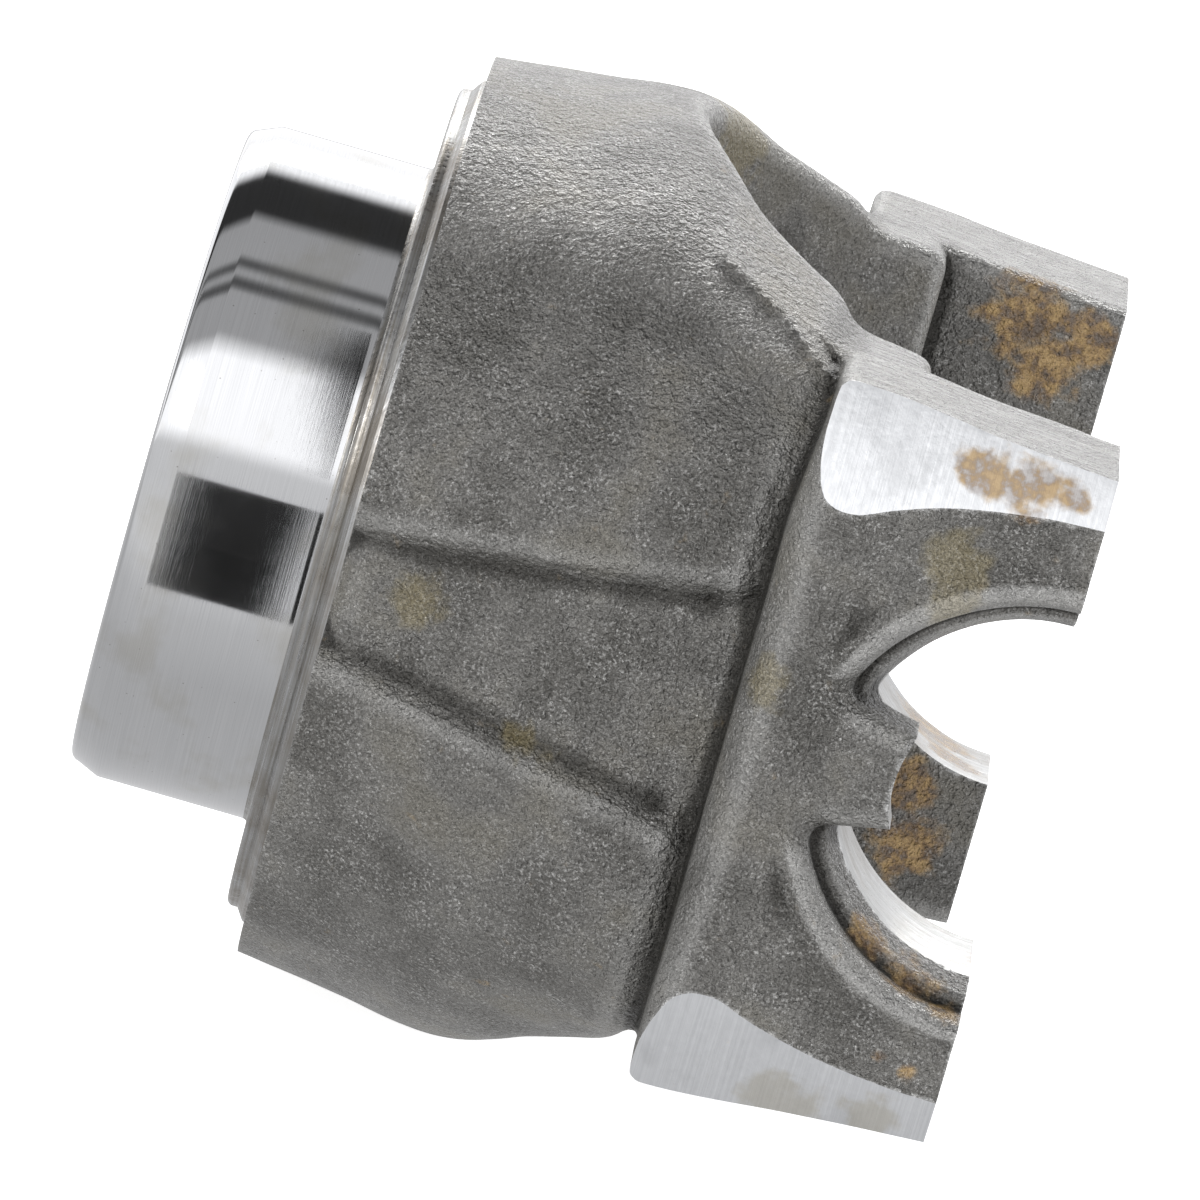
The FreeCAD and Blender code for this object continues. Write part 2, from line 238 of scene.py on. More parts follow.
def flash_ridge(s, y, z):
    """Thin ragged ridge that the trimmed flash leaves on two opposite pads."""
    total = 0.0
    for side in (-1, 1):
        along = np.clip((s - 66.0) / 19.0, 0.0, 1.0)
        level = side * -(55.6 - 7.4 * along - 1.8 * along**3)
        fade = smooth_step(s, 65.0, 68.0) * (1 - smooth_step(s, 84.5, 86.5))
        fade = fade * (side * y > 25.0) * (0.65 + 0.35 * np.sin(s * 2.1) * np.sin(s * 0.83))
        crack = smooth_step(s, 79.0, 82.0) * hump(z + side * 0.9, level, 0.6)
        total = total + fade * (1.15 * hump(z, level, 0.7) - 0.9 * crack)
    return total


def blurred(field, passes):
    """The field averaged with its neighbours along each axis."""
    out = field.copy()
    for _ in range(passes):
        for axis in range(3):
            out = (np.roll(out, 1, axis) + np.roll(out, -1, axis) + 2 * out) * 0.25
    return out


def smooth_forging(s, p, z):
    """Distance field of the forging before its skin is roughened."""
    q = np.abs(z)
    bell = bell_field(s, p, q)
    pads = smooth_max(bell, -side_pocket_field(s, p, q), 3.4)
    valley = VALLEY + VALLEY_LEAN * smooth_step(z, 26.0, 46.0)
    pads = smooth_max(pads, s - valley, 5.0)
    core = bell + 4.4 + 4.0 * hump(s, HUB_DIP, HUB_DIP_WIDTH)
    core = smooth_max(core, s - 100.0, 2.0)
    field = smooth_min(pads, core, 3.0)
    field = smooth_min(field, ear_field(s, p, z), 2.6)
    field = smooth_max(field, -throat_field(s, p), 3.2)
    field = smooth_max(field, -trough_field(s, p, q), 3.2)
    return np.maximum(field, 21.0 - s)


def forging_field():
    """Field of the rough forging on a grid, how its surface bends, and the first corner."""
    xs = np.arange(FIELD_X[0], FIELD_X[1] + GRID, GRID, dtype=np.float32)
    half_y = np.arange(0, FIELD_Y, GRID, dtype=np.float32)
    zs = np.arange(-FIELD_Z, FIELD_Z + GRID, GRID, dtype=np.float32)
    s = (xs + LENGTH)[:, None, None]
    z = zs[None, None, :]
    field = smooth_forging(s, half_y[None, :, None], z)
    field = np.concatenate([field[:, :0:-1], field], axis=1)
    bend = blurred(field, 4) - field

    rng = np.random.default_rng(SKIN_SEED)
    for spacing, height in SKIN:
        field += lattice(field.shape, spacing, rng) * height
    ys = np.arange(1 - len(half_y), len(half_y)) * GRID
    field -= flash_ridge(s, ys[None, :, None], z).astype(np.float32)
    for axis in range(3):
        np.moveaxis(field, axis, 0)[[0, -1]] = 1.0              # closed at the grid's sides
    corner = (float(xs[0]), -float(half_y[-1]), float(zs[0]))
    return field.astype(np.float32), bend, corner


def sampled(grid, corner, points):
    """Values of a grid at points in millimetres."""
    place = (points - np.array(corner)) / GRID
    cell = np.clip(np.floor(place).astype(int), 0, np.array(grid.shape) - 2)
    t = np.clip(place - cell, 0, 1)
    total = 0
    for i in (0, 1):
        for j in (0, 1):
            for k in (0, 1):
                share = np.prod(np.where((i, j, k), t, 1 - t), axis=1)
                total = total + share * grid[cell[:, 0] + i, cell[:, 1] + j, cell[:, 2] + k]
    return total


def net_points(field, corner, cells, offsets):
    """One vertex in each crossed cell: the mean of the crossings on its edges."""
    values = {o: field[tuple((cells + o).T)] for o in offsets}
    total = np.zeros((len(cells), 3))
    hits = np.zeros(len(cells))
    for a in offsets:
        for axis in range(3):
            if a[axis]:
                continue
            b = tuple(c + (i == axis) for i, c in enumerate(a))
            crossed = (values[a] < 0) != (values[b] < 0)
            gap = np.where(crossed, values[a] - values[b], 1.0)
            t = np.where(crossed, values[a] / gap, 0.0)
            point = np.tile(np.array(a, float), (len(cells), 1))
            point[:, axis] += t
            total += point * crossed[:, None]
            hits += crossed
    return (cells + total / hits[:, None]) * GRID + np.array(corner)


def net_quads(inside, index, axis):
    """Quads around the grid edges along one axis that cross the surface."""
    n = index.shape
    u, v = (axis + 1) % 3, (axis + 2) % 3
    first = [slice(None)] * 3
    second = [slice(None)] * 3
    first[axis], second[axis] = slice(0, -1), slice(1, None)
    change = inside[tuple(first)] != inside[tuple(second)]
    edges = np.argwhere(change)
    edges = edges[(edges[:, u] > 0) & (edges[:, v] > 0)
                  & (edges[:, u] < n[u]) & (edges[:, v] < n[v])]
    ring = []
    for du, dv in ((-1, -1), (0, -1), (0, 0), (-1, 0)):
        cell = edges.copy()
        cell[:, u] += du
        cell[:, v] += dv
        ring.append(index[tuple(cell.T)])
    ring = np.stack(ring, 1)
    outward = inside[tuple(edges.T)]
    ring[~outward] = ring[~outward][:, ::-1]
    return ring


def surface_net(field, corner):
    """Vertices and quads around the zero level of a field."""
    inside = field < 0
    n = [c - 1 for c in field.shape]
    offsets = [(i, j, k) for i in (0, 1) for j in (0, 1) for k in (0, 1)]
    count = sum(inside[i:i + n[0], j:j + n[1], k:k + n[2]].astype(np.int8)
                for i, j, k in offsets)
    cells = np.argwhere((count > 0) & (count < len(offsets)))
    index = np.full(n, -1, np.int32)
    index[tuple(cells.T)] = np.arange(len(cells))
    quads = [net_quads(inside, index, axis) for axis in range(3)]
    return net_points(field, corner, cells, offsets), np.concatenate(quads)


# ---------------------------------------------------------------- meshes

def mesh_object(name, points, faces):
    """A mesh object from points in millimetres."""
    mesh = bpy.data.meshes.new(name)
    mesh.from_pydata((np.asarray(points, float) * MM).tolist(), [],
                     [list(map(int, f)) for f in faces])
    mesh.validate()
    obj = bpy.data.objects.new(name, mesh)
    bpy.context.scene.collection.objects.link(obj)
    return obj


def weld_outward(obj):
    """Merge doubled points on the axis, drop empty faces and face outwards."""
    work = bmesh.new()
    work.from_mesh(obj.data)
    bmesh.ops.remove_doubles(work, verts=work.verts, dist=1e-7)
    bmesh.ops.dissolve_degenerate(work, dist=1e-7, edges=work.edges)
    bmesh.ops.recalc_face_normals(work, faces=work.faces)
    work.to_mesh(obj.data)
    work.free()
    return obj


def turned(name, outline, segments=360, axis="X"):
    """Closed solid turned about the X or Y axis from (along, radius) corners."""
    count = len(outline)
    angles = np.arange(segments) * (2 * math.pi / segments)
    points = []
    for angle in angles:
        for along, radius in outline:
            c, d = radius * math.cos(angle), radius * math.sin(angle)
            points.append((along, c, d) if axis == "X" else (d, along, c))
    faces = []
    for i in range(segments):
        j = (i + 1) % segments
        for k in range(count):
            m = (k + 1) % count
            faces.append((i * count + k, j * count + k, j * count + m, i * count + m))
    return weld_outward(mesh_object(name, points, faces))


def turned_bar(name, low, high, radius, segments, axis="X"):
    """Plain round bar on the X or Y axis."""
    return turned(name, [(low, 0), (high, 0), (high, radius), (low, radius)], segments, axis)


def prism(name, outline, low, high):
    """Closed solid: an outline across the shaft, raised along it from low to high."""
    count = len(outline)
    points = [(x, y, z) for x in (low, high) for y, z in outline]
    faces = [tuple(range(count)), tuple(range(2 * count - 1, count - 1, -1))]
    for i in range(count):
        j = (i + 1) % count
        faces.append((i, j, count + j, count + i))
    return weld_outward(mesh_object(name, points, faces))


def arc(centre, radius, start, end, steps):
    """Points on an arc, angles in degrees."""
    for angle in np.radians(np.linspace(start, end, steps)):
        yield (centre[0] + radius * math.cos(angle), centre[1] + radius * math.sin(angle))


def machined(obj, tool, operation="DIFFERENCE"):
    """Cut a tool's volume away from a solid, or fuse it on with UNION."""
    modifier = obj.modifiers.new("machining", "BOOLEAN")
    modifier.operation = operation
    modifier.solver = "MANIFOLD"
    modifier.object = tool
    depsgraph = bpy.context.evaluated_depsgraph_get()
    mesh = bpy.data.meshes.new_from_object(obj.evaluated_get(depsgraph))
    if len(mesh.polygons) in (0, len(obj.data.polygons)):
        raise RuntimeError("machining step did nothing: " + tool.name)
    obj.modifiers.remove(modifier)
    obj.data = mesh
    bpy.data.objects.remove(tool)


# ---------------------------------------------------------------- machining

def hub_outline():
    """Half-section of the stock that the lathe leaves: (along, radius) corners."""
    x = -LENGTH
    flat_r, nose, fillet, rounding = 44.0, 1.4, 1.4, 0.9
    rounding_at = (x + (RING_FACE + rounding), RING_R - rounding)
    return ([(x, 28.9)] + list(arc((x + nose, flat_r), nose, 180, 100, 7))
            # the second and third of these keep the shading of the journal straight
            + [(x + 4.3, JOURNAL_R), (x + 4.6, JOURNAL_R), (x + 24.5, JOURNAL_R)]
            + list(arc((x + 25.0, JOURNAL_R + fillet), fillet, 270, 355, 8))
            + [(x + RING_FACE, RING_R - rounding)]
            + list(arc(rounding_at, rounding, 180, 90, 6))
            + [(x + 27.9, RING_R), (x + 29.0, 60.3), (x + TURNED_END, TURNED_END_R)])


def turn_outside(yoke):
    """Turn the hub, the ring and the lugs' swing faces, and face the ear tips."""
    section = hub_outline()
    face, root = section[-1][0], section[-1][0] + 12            # fused 12 deep into the bell
    before, around = -140, 110                                  # clear of the forging
    hub = turned("hub_stock", [(root, 0), (-LENGTH, 0)] + section + [(root, TURNED_END_R)])
    machined(yoke, turned("facing", [(before, 0), (face, 0), (face, around),
                                     (before, around)]))
    machined(yoke, hub, "UNION")
    machined(yoke, turned("swing", [(SWING_START, SWING_R), (6, SWING_R), (6, 140),
                                    (SWING_START, 140)], segments=540))
    machined(yoke, prism("tips", [(-120, -90), (120, -90), (120, 90), (-120, 90)], 0, 20))


def bore_saddles(yoke):
    """Bore both saddles in one pass, then the tips of the two tabs."""
    machined(yoke, turned_bar("saddle", -SADDLE_END, SADDLE_END, SADDLE_R, 256, "Y"))
    for side in (-1, 1):
        low, high = sorted((side * (SADDLE_END - 1), side * 100))
        machined(yoke, turned_bar("tab_tip", low, high, TAB_TIP_R, 192, "Y"))


def spline_outline():
    """Outline of the spline broach: teeth of the pinion shaft."""
    pitch = 2 * math.pi / TEETH
    corners = []
    for i in range(TEETH):
        for share, radius in ((-0.30, MINOR_R), (-0.17, MAJOR_R),
                              (0.17, MAJOR_R), (0.30, MINOR_R), (0.5, MINOR_R)):
            angle = (i + share) * pitch
            corners.append((radius * math.cos(angle), radius * math.sin(angle)))
    return corners


def bore_shaft(yoke):
    """Cut the nut's recess, the chamfered pilot bore and the spline between them."""
    seat = NUT_SEAT_STATION - LENGTH
    pilot = -LENGTH + PILOT_DEPTH
    machined(yoke, turned_bar("nut_seat", seat, seat + NUT_RECESS, NUT_SEAT_R, 192))
    machined(yoke, turned("pilot", [(-LENGTH - 2, 0), (pilot, 0), (pilot, PILOT_R),
                                    (-LENGTH + 1, PILOT_R), (-LENGTH - 2, PILOT_R + 3)],
                          segments=192))
    machined(yoke, prism("broach", spline_outline(), pilot - 1, seat + 1))


def drill_straps(yoke):
    """Drill the four chamfered strap-bolt holes into the ear tips."""
    for y in (-STRAP_Y, STRAP_Y):
        for z in (-STRAP_Z, STRAP_Z):
            hole = turned("strap_hole", [(-STRAP_DEPTH - 3, 0), (1, 0),
                                         (1, STRAP_R + STRAP_CHAMFER), (-0.8, STRAP_R),
                                         (-STRAP_DEPTH, STRAP_R)], segments=48)
            hole.location = (0, y * MM, z * MM)
            bpy.context.view_layer.update()
            machined(yoke, hole)


def build_yoke():
    """Forge, then turn, bore and drill; also returns how the forging's surface bends."""
    field, bend, corner = forging_field()
    yoke = weld_outward(mesh_object("yoke_forging", *surface_net(field, corner)))
    turn_outside(yoke)
    bore_saddles(yoke)
    bore_shaft(yoke)
    drill_straps(yoke)
    return yoke, bend, corner


# ---------------------------------------------------------------- materials

class Recipe:
    """The nodes of one steel surface, with positions in millimetres."""

    def __init__(self, name, metallic, roughness):
        self.material = bpy.data.materials.new(name)
        self.material.use_nodes = True
        self.tree = self.material.node_tree
        self.shader = self.tree.nodes["Principled BSDF"]
        self.shader.inputs["Metallic"].default_value = metallic
        self.shader.inputs["Roughness"].default_value = roughness
        place = self.tree.nodes.new("ShaderNodeTexCoord").outputs["Object"]
        self.place = self.node("VectorMath", place, (1000, 1000, 1000), operation="MULTIPLY")
        split = self.tree.nodes.new("ShaderNodeSeparateXYZ")
        self.tree.links.new(self.place, split.inputs[0])
        self.x, self.y, self.z = split.outputs

    def node(self, kind, *inputs, out=0, **settings):
        """Add a node, fill its inputs in order and return one output."""
        node = self.tree.nodes.new("ShaderNode" + kind)
        for key, value in settings.items():
            setattr(node, key, value)
        for socket, value in zip(node.inputs, inputs):
            if isinstance(value, bpy.types.NodeSocket):
                self.tree.links.new(value, socket)
            elif value is not None:
                socket.default_value = value
        return node.outputs[out]

    def math(self, operation, *inputs):
        """A sum, product or other operation on numbers."""
        return self.node("Math", *inputs, operation=operation)

    def stretched(self, factors, turned_about=None):
        """The place scaled by axis; or along, around and across a turning axis."""
        if turned_about is None:
            return self.node("VectorMath", self.place, factors, operation="MULTIPLY")
        along = self.x if turned_about == "X" else self.y
        other = self.y if turned_about == "X" else self.x
        angle = self.math("ARCTAN2", other, self.z)
        radius = self.math("SQRT", self.math("ADD", self.math("MULTIPLY", other, other),
                                             self.math("MULTIPLY", self.z, self.z)))
        return self.node("CombineXYZ", self.math("MULTIPLY", along, factors[0]),
                         self.math("MULTIPLY", angle, factors[1]),
                         self.math("MULTIPLY", radius, factors[2]))

    def noise(self, scale, detail=2.0, where=None, roughness=0.55):
        """Cloudy noise with about `scale` bumps in each millimetre."""
        return self.node("TexNoise", where or self.place, None, scale, detail, roughness)

    def pits(self, scale):
        """Distance to the nearest of the scattered pits."""
        return self.node("TexVoronoi", self.place, None, scale, feature="F1")

    def ramp(self, value, low, high, to_low=0.0, to_high=1.0, smooth=True):
        """A value between low and high turned into one between two others."""
        return self.node("MapRange", value, low, high, to_low, to_high, clamp=True,
                         interpolation_type="SMOOTHSTEP" if smooth else "LINEAR")

    def mix(self, share, a, b):
        """A colour between two others."""
        node = self.tree.nodes.new("ShaderNodeMix")
        node.data_type = "RGBA"
        for socket, value in ((node.inputs[0], share), (node.inputs[6], a),
                              (node.inputs[7], b)):
            if isinstance(value, bpy.types.NodeSocket):
                self.tree.links.new(value, socket)
            else:
                socket.default_value = (*value, 1) if isinstance(value, tuple) else value
        return node.outputs[2]

    def attribute(self, name):
        """A value that dress() stored at the vertices."""
        return self.node("Attribute", attribute_name=name, out=2)

    def bump(self, height, distance, below=None):
        """Relief: a height of 0 to 1, worth a distance in millimetres."""
        node = self.tree.nodes.new("ShaderNodeBump")
        node.inputs["Distance"].default_value = distance * MM
        self.tree.links.new(height, node.inputs["Height"])
        if below is not None:
            self.tree.links.new(below, node.inputs["Normal"])
        return node.outputs[0]

    def patches(self, spots):
        """Mask of ragged patches: each spot is a centre and a radius."""
        total = None
        for x, y, z, radius in spots:
            away = self.node("VectorMath", self.place, (x, y, z), operation="DISTANCE",
                             out=1)
            share = self.ramp(away, radius * 1.35, 0.0, smooth=False)
            total = share if total is None else self.math("MAXIMUM", total, share)
        ragged = self.math("MULTIPLY", self.math("SUBTRACT", self.noise(0.24, 5.0), 0.5),
                           1.43)
        return self.ramp(self.math("ADD", total, ragged), 0.22, 0.62)

    def residue(self, colour, roughness, metallic):
        """Colour and roughness with dried golden-brown preservative over them."""
        mask = self.patches(RESIDUE)
        crumbs = self.noise(0.55, 5.0)
        film = self.mix(self.ramp(crumbs, 0.35, 0.65), (0.125, 0.062, 0.020),
                        (0.40, 0.265, 0.11))
        share = self.math("MULTIPLY", mask, self.ramp(crumbs, 0.30, 0.55, 0.45, 0.88))
        trace = self.math("MULTIPLY", self.patches(FAINT_RESIDUE), 0.30)
        colour = self.mix(trace, colour, (0.34, 0.27, 0.10))
        self.tree.links.new(self.math("SUBTRACT", metallic, self.math("MULTIPLY", share, 0.6)),
                            self.shader.inputs["Metallic"])
        return (self.mix(share, colour, film),
                self.math("SUBTRACT", roughness, self.math("MULTIPLY", share, 0.08)))

    def finish(self, colour, roughness, normal):
        """Link the three results to the shader and return the material."""
        for name, value in (("Base Color", colour), ("Roughness", roughness),
                            ("Normal", normal)):
            self.tree.links.new(value, self.shader.inputs[name])
        return self.material


def forged_steel():
    """Shot-blasted forging skin: grey-brown and grainy, with painted glints, a painted
    highlight on its convex edges and painted shade in its hollows.
    """
    metallic = 0.6
    r = Recipe("forged_steel", metallic, 0.4)
    grain = r.noise(2.7, 2.0, roughness=0.5)
    coarse = r.noise(0.9, 2.0)
    cloud = r.noise(0.055, 4.0)
    tone = r.math("ADD", r.ramp(grain, 0.25, 0.80, 0.0, 0.6),
                  r.ramp(cloud, 0.36, 0.64, 0.0, 0.65))
    colour = r.mix(tone, (0.088, 0.085, 0.077), (0.225, 0.22, 0.208))
    # painted glints: a few grains painted bright to stand in for light sparkling on them
    painted_glints = r.math("MULTIPLY", r.ramp(r.noise(2.4, 2.0), 0.50, 0.72),
                    r.ramp(r.noise(0.20, 2.0), 0.35, 0.65, 0.25, 0.9))
    colour = r.mix(painted_glints, colour, (0.46, 0.455, 0.44))
    # oily clouds, pits, a painted highlight along the convex edges and painted shade in the
    # hollows
    colour = r.mix(r.ramp(cloud, 0.5, 0.66, 0.0, 0.30), colour, (0.15, 0.132, 0.085))
    colour = r.mix(r.ramp(r.pits(1.35), 0.20, 0.05, 0.0, 0.4), colour, (0.03, 0.028, 0.025))
    edge = r.attribute("edge")
    # painted highlight: the colour is lightened where the surface bends outward
    colour = r.mix(r.ramp(edge, 0.045, 0.30, 0.0, 0.60), colour, (0.50, 0.495, 0.48))
    # painted shade: the colour is darkened where the surface bends inward, in creases and
    # hollows
    colour = r.mix(r.ramp(edge, -0.02, -0.18, 0.0, 0.85), colour, (0.030, 0.028, 0.024))
    # the trimmed tops of the lugs, and the bright line beside a machined face
    streaks = r.noise(0.8, 3.0, where=r.stretched((0.16, 0.9, 1.3)))
    trimmed = r.attribute("trim")
    light = r.mix(r.ramp(streaks, 0.30, 0.70), (0.21, 0.205, 0.195), (0.38, 0.375, 0.365))
    colour = r.mix(r.math("MULTIPLY", trimmed, 0.8), colour, light)
    rim = r.math("MULTIPLY", r.attribute("rim"), r.ramp(coarse, 0.35, 0.65, 0.1, 0.7))
    colour = r.mix(rim, colour, (0.70, 0.70, 0.69))
    roughness = r.ramp(grain, 0.3, 0.7, 0.46, 0.24)
    colour, roughness = r.residue(colour, roughness, metallic)
    normal = r.bump(grain, 0.60)
    normal = r.bump(coarse, 0.90, normal)
    normal = r.bump(r.math("MULTIPLY", streaks, trimmed), 0.25, normal)
    return r.finish(colour, roughness, normal)


def turned_steel(name, axis, feed, tones, roughness, depth, rust=0.0):
    """Bright steel with the feed marks of a lathe or a boring bar."""
    metallic = 0.97
    r = Recipe(name, metallic, roughness)
    marks = r.noise(feed, 3.0, where=r.stretched((1.0, 0.6, 1.0), axis), roughness=0.7)
    scratches = r.noise(1.0, 4.0, where=r.stretched((1.1, 1.6, 0.35)))
    dull = r.noise(0.11, 4.0)
    colour = r.mix(r.ramp(marks, 0.3, 0.7), *tones)
    colour = r.mix(r.ramp(dull, 0.52, 0.72, 0.0, 0.4), colour,
                   tuple(0.72 * t for t in tones[0]))
    if rust:
        colour = r.mix(r.ramp(dull, 0.40, 0.62, 0.0, rust), colour, (0.16, 0.11, 0.055))
    level = r.ramp(scratches, 0.3, 0.7, roughness - 0.07, roughness + 0.09)
    colour, level = r.residue(colour, level, metallic)
    normal = r.bump(marks, depth)
    normal = r.bump(scratches, depth * 1.2, normal)
    return r.finish(colour, level, normal)


def ground_steel():
    """Mirror-ground seal journal with circumferential brushing and a few stains."""
    r = Recipe("ground_steel", 1.0, 0.08)
    brush = r.noise(6.0, 4.0, where=r.stretched((1.0, 0.25, 0.0), "X"), roughness=0.7)
    haze = r.noise(0.22, 4.0, where=r.stretched((0.4, 14.0, 0.0), "X"))
    colour = r.mix(r.ramp(brush, 0.3, 0.7), (0.60, 0.605, 0.61), (0.68, 0.685, 0.69))
    colour = r.mix(r.ramp(haze, 0.50, 0.68, 0.0, 0.22), colour, (0.38, 0.34, 0.22))
    colour = r.mix(r.ramp(r.pits(0.55), 0.075, 0.03, 0.0, 0.55), colour, (0.14, 0.12, 0.09))
    level = r.ramp(haze, 0.35, 0.7, 0.06, 0.10)
    return r.finish(colour, level, r.bump(brush, 0.0025))


def finishes():
    """The yoke's materials, in the order of FORGED to INNER."""
    grey, bright = (0.46, 0.465, 0.47), (0.80, 0.81, 0.82)
    return (forged_steel(),
            ground_steel(),
            turned_steel("turned_steel", "X", 3.0, ((0.27, 0.26, 0.235), grey),
                         0.30, 0.05, rust=0.30),
            turned_steel("swing_steel", "X", 2.4, ((0.70, 0.71, 0.72), bright), 0.42, 0.05),
            turned_steel("bored_steel", "Y", 2.0, ((0.28, 0.28, 0.27), (0.46, 0.465, 0.465)),
                         0.34, 0.06, rust=0.20),
            turned_steel("inner_steel", "X", 2.0, ((0.33, 0.32, 0.30), grey),
                         0.36, 0.06, rust=0.15))


def surface_of(centres, normals):
    """Which finish each face has, by where it lies (millimetres)."""
    x, y, z = centres.T
    station = x + LENGTH
    about_x, about_y = np.hypot(y, z), np.hypot(x, z)
    radial_x = np.abs(normals[:, 1] * y + normals[:, 2] * z) / np.maximum(about_x, 1e-6)
    kind = np.full(len(x), FORGED)
    kind[(np.abs(about_x - SWING_R) < 0.1) & (radial_x > 0.98) & (x > SWING_START)] = SWING
    kind[x > -0.02] = BORED
    bored = (np.abs(about_y - SADDLE_R) < 0.1) & (np.abs(y) < SADDLE_END + 0.1)
    tips = (np.abs(about_y - TAB_TIP_R) < 0.08) & (np.abs(y) > SADDLE_END - 1.1)
    kind[bored | tips] = BORED
    ends = (np.abs(np.abs(y) - SADDLE_END) < 0.05) & (np.abs(normals[:, 1]) > 0.9)
    kind[ends & (about_y < SADDLE_R + 0.1)] = BORED
    kind[station < TURNED_END + 0.05] = TURNED
    kind[(station < 25.4) & (station > 0.05) & (about_x > 43.0)] = GROUND
    recess = station < NUT_SEAT_STATION + NUT_RECESS + 0.1
    kind[(about_x < NUT_SEAT_R + 0.2) & recess] = INNER
    hole = np.hypot(np.abs(y) - STRAP_Y, np.abs(z) - STRAP_Z) < STRAP_R + STRAP_CHAMFER + 0.1
    wall = (x < -0.02) & (x > -STRAP_DEPTH - 0.1) & (np.abs(normals[:, 0]) < 0.9)
    kind[hole & wall] = INNER
    return kind


def gathered(items, name, width=1, dtype=float):
    """One property of all vertices, edges, faces or loops, as an array."""
    values = np.empty(len(items) * width, dtype)
    items.foreach_get(name, values)
    return values.reshape(-1, width) if width > 1 else values


def finish_borders(mesh, kind):
    """Which edges lie between two finishes."""
    edge_of_loop = gathered(mesh.loops, "edge_index", dtype=np.int32)
    owner = np.repeat(kind, gathered(mesh.polygons, "loop_total", dtype=np.int32))
    lowest = np.full(len(mesh.edges), INNER + 1)
    highest = np.full(len(mesh.edges), -1)
    np.minimum.at(lowest, edge_of_loop, owner)
    np.maximum.at(highest, edge_of_loop, owner)
    return lowest != highest


def dress(yoke, bend, corner):
    """Give each face its finish and store how the skin bends (for its painted highlight and
    painted shade), where it is trimmed and where it is cut.
    """
    mesh = yoke.data
    kind = surface_of(gathered(mesh.polygons, "center", 3) / MM,
                      gathered(mesh.polygons, "normal", 3))
    mesh.materials.clear()
    for material in finishes():
        mesh.materials.append(material)
    mesh.polygons.foreach_set("material_index", kind.astype(np.int32))
    mesh.polygons.foreach_set("use_smooth", [True] * len(kind))
    borders = finish_borders(mesh, kind)
    mesh.set_sharp_from_angle(angle=math.radians(CREASE))
    sharp = gathered(mesh.edges, "use_edge_sharp", dtype=bool)
    mesh.edges.foreach_set("use_edge_sharp", sharp | borders)

    points = gathered(mesh.vertices, "co", 3) / MM
    facing = gathered(mesh.vertices, "normal", 3)
    ends = gathered(mesh.edges, "vertices", 2, np.int32)
    rim = np.zeros(len(points))
    rim[ends[borders].ravel()] = 1.0
    rim *= 0.25 + 0.75 * (points[:, 0] > 35 - LENGTH)           # fainter beside the ring
    x, z = points[:, 0], np.abs(points[:, 2])
    trim = smooth_step(np.abs(facing[:, 2]), 0.80, 0.95)
    trim *= smooth_step(x, 88 - LENGTH, 90 - LENGTH) * smooth_step(z, 43.0, 45.0)
    for name, values in (("edge", sampled(bend, corner, points)), ("trim", trim),
                         ("rim", rim)):
        layer = mesh.attributes.new(name, "FLOAT", "POINT")
        layer.data.foreach_set("value", values.astype(np.float32))


# ---------------------------------------------------------------- studio

def area_light(name, place, size, power):
    """Soft box that faces the yoke."""
    data = bpy.data.lights.new(name, "AREA")
    data.shape = "RECTANGLE"
    data.size, data.size_y = size
    data.energy = power
    obj = bpy.data.objects.new(name, data)
    obj.location = place
    towards = Vector(LIT_POINT) - Vector(place)
    obj.rotation_euler = towards.to_track_quat("-Z", "Y").to_euler()
    bpy.context.scene.collection.objects.link(obj)


def camera():
    """Long lens across the shaft, a little above it, rolled as the object lies."""
    distance, width = 1.83, 0.1658      # metres: to the shaft, and seen across the frame there
    tilt, turn, roll = (math.radians(a) for a in (10.8, 0.3, 16.1))
    middle = -LENGTH + 64.3             # mm: the point of the shaft in the frame's middle
    above = 4.1                         # mm: how far the shaft passes above that middle
    data = bpy.data.cameras.new("camera")
    data.sensor_width = 36.0
    data.lens = data.sensor_width * distance / width
    data.clip_end = 50
    right = Vector((math.cos(turn), -math.sin(turn), 0))
    back = Vector((-math.sin(turn) * math.cos(tilt), -math.cos(turn) * math.cos(tilt),
                   math.sin(tilt)))
    up = back.cross(right)
    centre = Vector((middle * MM, 0, 0)) - up * (above * MM)
    across = right * math.cos(roll) + up * math.sin(roll)
    upright = up * math.cos(roll) - right * math.sin(roll)
    turn_to = Matrix((across, upright, back)).transposed().to_4x4()
    obj = bpy.data.objects.new("camera", data)
    obj.matrix_world = Matrix.Translation(centre + back * distance) @ turn_to
    bpy.context.scene.collection.objects.link(obj)
    bpy.context.scene.camera = obj


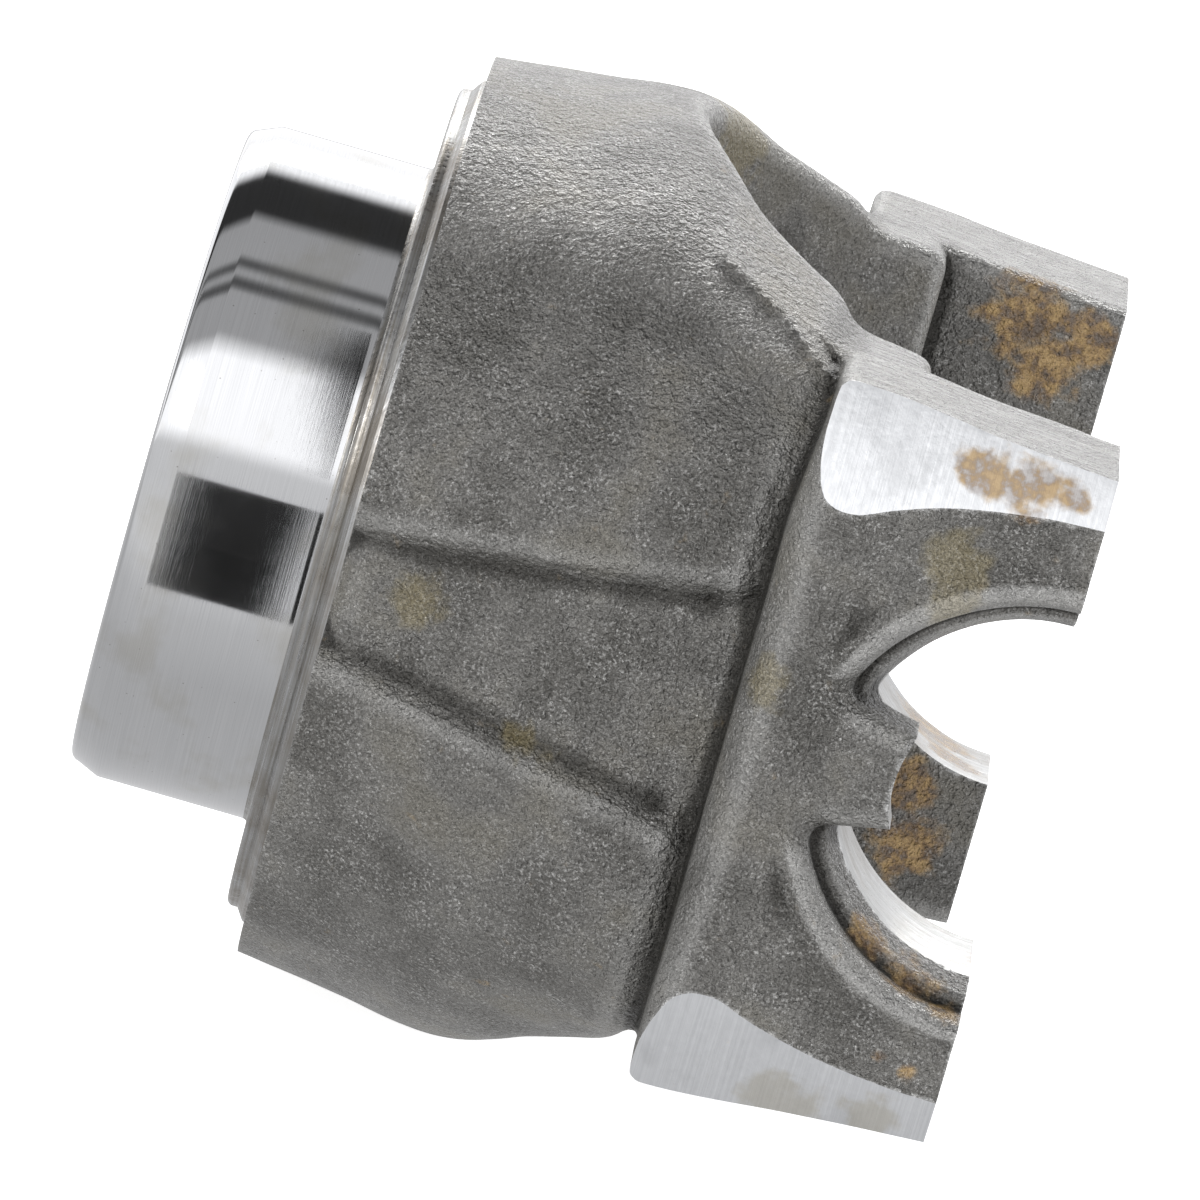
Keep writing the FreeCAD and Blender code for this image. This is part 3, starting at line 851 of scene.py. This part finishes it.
def studio_world():
    """Soft boxes and dark flags as a panorama: brightness by angle about the shaft.

    The angle is 0 level towards the camera's side, 90 overhead, 180 level behind.
    """
    world = bpy.data.worlds.new("studio")
    bpy.context.scene.world = world
    world.use_nodes = True
    nodes, links = world.node_tree.nodes, world.node_tree.links
    split = nodes.new("ShaderNodeSeparateXYZ")
    links.new(nodes.new("ShaderNodeTexCoord").outputs["Generated"], split.inputs[0])
    flip = nodes.new("ShaderNodeMath")
    flip.operation = "MULTIPLY"
    flip.inputs[1].default_value = -1
    links.new(split.outputs[1], flip.inputs[0])
    angle = nodes.new("ShaderNodeMath")
    angle.operation = "ARCTAN2"
    links.new(split.outputs[2], angle.inputs[0])
    links.new(flip.outputs[0], angle.inputs[1])
    share = nodes.new("ShaderNodeMapRange")
    links.new(angle.outputs[0], share.inputs[0])
    for k, value in ((1, -math.pi), (2, math.pi), (3, 0.0), (4, 1.0)):
        share.inputs[k].default_value = value
    ramp = nodes.new("ShaderNodeValToRGB")
    links.new(share.outputs[0], ramp.inputs[0])
    stops = ramp.color_ramp.elements
    for degrees, level in STUDIO:
        stop = stops.new((degrees + 180) / 360)
        stop.color = (level, level, level * 1.02, 1)
    stops.remove(stops[0])              # the two stops that a new ramp has
    stops.remove(stops[-1])
    links.new(ramp.outputs[0], nodes["Background"].inputs["Color"])
    nodes["Background"].inputs["Strength"].default_value = WORLD_STRENGTH


def shaded(obj, name, settings):
    """Give a studio object its plain material."""
    material = bpy.data.materials.new(name)
    material.use_nodes = True
    shader = material.node_tree.nodes["Principled BSDF"]
    for socket, value in settings.items():
        shader.inputs[socket].default_value = value
    obj.data.materials.append(material)


def flag(name, distance, rows):
    """A black strip seen only in reflections: rows of angle, first and last station."""
    points = []
    for degrees, first, last in rows:
        y, z = (-distance * math.cos(math.radians(degrees)),
                distance * math.sin(math.radians(degrees)))
        points += [(first - LENGTH, y, z), (last - LENGTH, y, z)]
    faces = [(2 * k, 2 * k + 1, 2 * k + 3, 2 * k + 2) for k in range(len(rows) - 1)]
    card = mesh_object(name, points, faces)
    shaded(card, name, {"Base Color": (0.02, 0.02, 0.02, 1), "Specular IOR Level": 0.0})
    card.visible_camera = False
    card.visible_shadow = False
    card.visible_diffuse = False


def paper_floor():
    """White paper just under the yoke, lit from within so that it stays white."""
    corners = [(-FLOOR_REACH, -FLOOR_REACH, FLOOR_Z), (FLOOR_REACH, -FLOOR_REACH, FLOOR_Z),
               (FLOOR_REACH, FLOOR_REACH, FLOOR_Z), (-FLOOR_REACH, FLOOR_REACH, FLOOR_Z)]
    floor = mesh_object("floor", corners, [(0, 1, 2, 3)])
    shaded(floor, "white_paper", {"Base Color": (0.93, 0.93, 0.93, 1), "Roughness": 0.9,
                                  "Emission Color": (1, 1, 1, 1),
                                  "Emission Strength": PAPER_GLOW})
    floor.visible_glossy = False


# ---------------------------------------------------------------- scene

yoke, bend, corner = build_yoke()
dress(yoke, bend, corner)
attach(yoke, "root")
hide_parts(NODE)

bpy.context.scene.view_settings.view_transform = "Standard"
camera()
studio_world()
flag("low_flag", 175, LOW_FLAG)
flag("side_flag", 230, SIDE_FLAG)
area_light("overhead", (-0.1, 0.95, 0.7), (1.2, 0.35), 8)
area_light("front", (-0.9, -1.3, 0.75), (0.5, 0.5), 6)
paper_floor()
